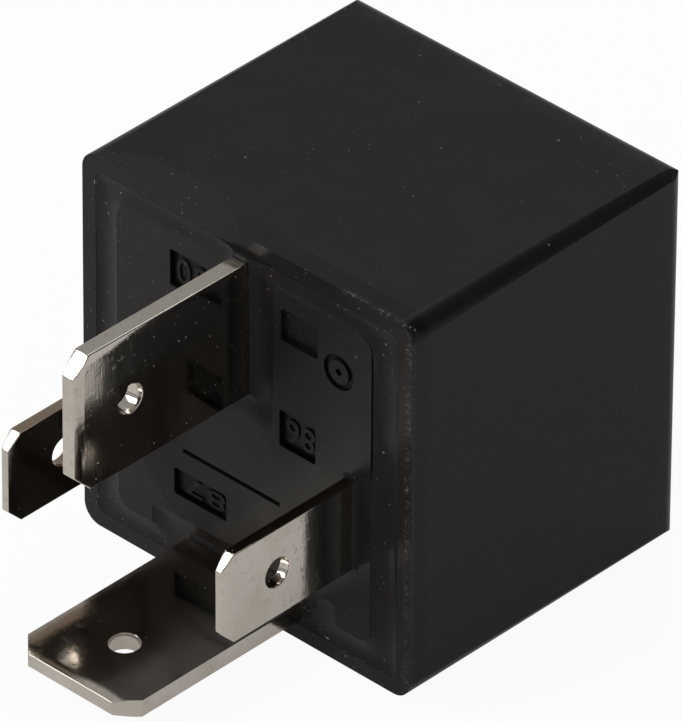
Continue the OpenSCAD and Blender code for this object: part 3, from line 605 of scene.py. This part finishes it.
def make_floor():
    """A wide sheet of white paper that keeps a little of the relay's shadow."""
    sheet = bmesh.new()
    bmesh.ops.create_grid(sheet, x_segments=1, y_segments=1, size=1.5)
    mesh = bpy.data.meshes.new("floor")
    sheet.to_mesh(mesh)
    sheet.free()
    floor = bpy.data.objects.new("floor", mesh)
    bpy.context.scene.collection.objects.link(floor)
    s = Shader("floor_paper")
    path = s.node("ShaderNodeLightPath")
    straight = path["Is Camera Ray"].or_more(path["Is Transmission Ray"])
    seen = (straight * 0.94).or_more(path["Is Glossy Ray"] * 0.5)
    glow = s.node("ShaderNodeEmission", {}, {"Color": (1, 1, 1, 1), "Strength": 1.0})["Emission"]
    paper = s.node("ShaderNodeBsdfDiffuse", {}, {"Color": tone(225, 225, 225)})["BSDF"]
    mixed = s.node("ShaderNodeMixShader", {}, {0: seen, 1: paper, 2: glow})["Shader"]
    s.node("ShaderNodeOutputMaterial", {}, {"Surface": mixed})
    mesh.materials.append(s.owner)


def make_world():
    """A pale studio with one darker corner, behind and to the right."""
    world = bpy.data.worlds.new("studio")
    bpy.context.scene.world = world
    s = Shader("studio", world)
    way = s.node("ShaderNodeTexCoord")["Generated"]
    unlit = Vector((0.62, 0.62, 0.48)).normalized()
    turned = s.node("ShaderNodeVectorMath", {"operation": "DOT_PRODUCT"}, {0: way, 1: tuple(unlit)})["Value"]
    rise = s.node("ShaderNodeSeparateXYZ", {}, {"Vector": way})["Z"]
    dark = turned.ramp(0.66, 0.76) * rise.ramp(0.04, 0.1)
    path = s.node("ShaderNodeLightPath")
    seen = path["Is Camera Ray"].or_more(path["Is Transmission Ray"])
    wall = s.node("ShaderNodeBackground", {}, {
        "Color": s.mix(dark, (0.8, 0.8, 0.8, 1), (0.25, 0.25, 0.26, 1)), "Strength": 0.6})["Background"]
    white = s.node("ShaderNodeBackground", {}, {"Color": (1, 1, 1, 1), "Strength": 1.0})["Background"]
    mixed = s.node("ShaderNodeMixShader", {}, {0: seen, 1: wall, 2: white})["Shader"]
    s.node("ShaderNodeOutputWorld", {}, {"Surface": mixed})


def aim(thing, place, target):
    thing.location = place
    thing.rotation_euler = (Vector(target) - Vector(place)).to_track_quat("-Z", "Y").to_euler()


def make_lamp(name, place, size, power):
    light = bpy.data.lights.new(name, "AREA")
    light.shape, light.size, light.energy = "SQUARE", size, power
    lamp = bpy.data.objects.new(name, light)
    bpy.context.scene.collection.objects.link(lamp)
    aim(lamp, place, (0, 0, 0.014))


def make_camera():
    """A long lens from in front, to the right and above."""
    azimuth, rise, roll = math.radians(43.679), math.radians(35.3834), math.radians(0.068)
    distance, target = 0.782134, Vector((0.8846, 2.8412, 14.894)) * MM
    away = Vector((math.sin(azimuth) * math.cos(rise), -math.cos(azimuth) * math.cos(rise), math.sin(rise)))
    level = Vector((math.cos(azimuth), math.sin(azimuth), 0))
    upright = away.cross(level)
    across = level * math.cos(roll) + upright * math.sin(roll)
    up = upright * math.cos(roll) - level * math.sin(roll)
    data = bpy.data.cameras.new("camera")
    data.sensor_fit, data.sensor_width, data.lens = "HORIZONTAL", 36.0, 694.561
    data.clip_start, data.clip_end = 0.01, 20.0
    camera = bpy.data.objects.new("camera", data)
    bpy.context.scene.collection.objects.link(camera)
    turn = Matrix((across, up, away)).transposed().to_4x4()
    camera.matrix_world = Matrix.Translation(target + away * distance) @ turn
    bpy.context.scene.camera = camera


make_camera()
make_floor()
make_world()
make_lamp("key", (-0.38, -0.42, 0.42), 0.3, 2.6)
make_lamp("top", (-0.15, 0.25, 0.6), 0.35, 1.0)

bpy.context.scene.view_settings.view_transform = "Standard"
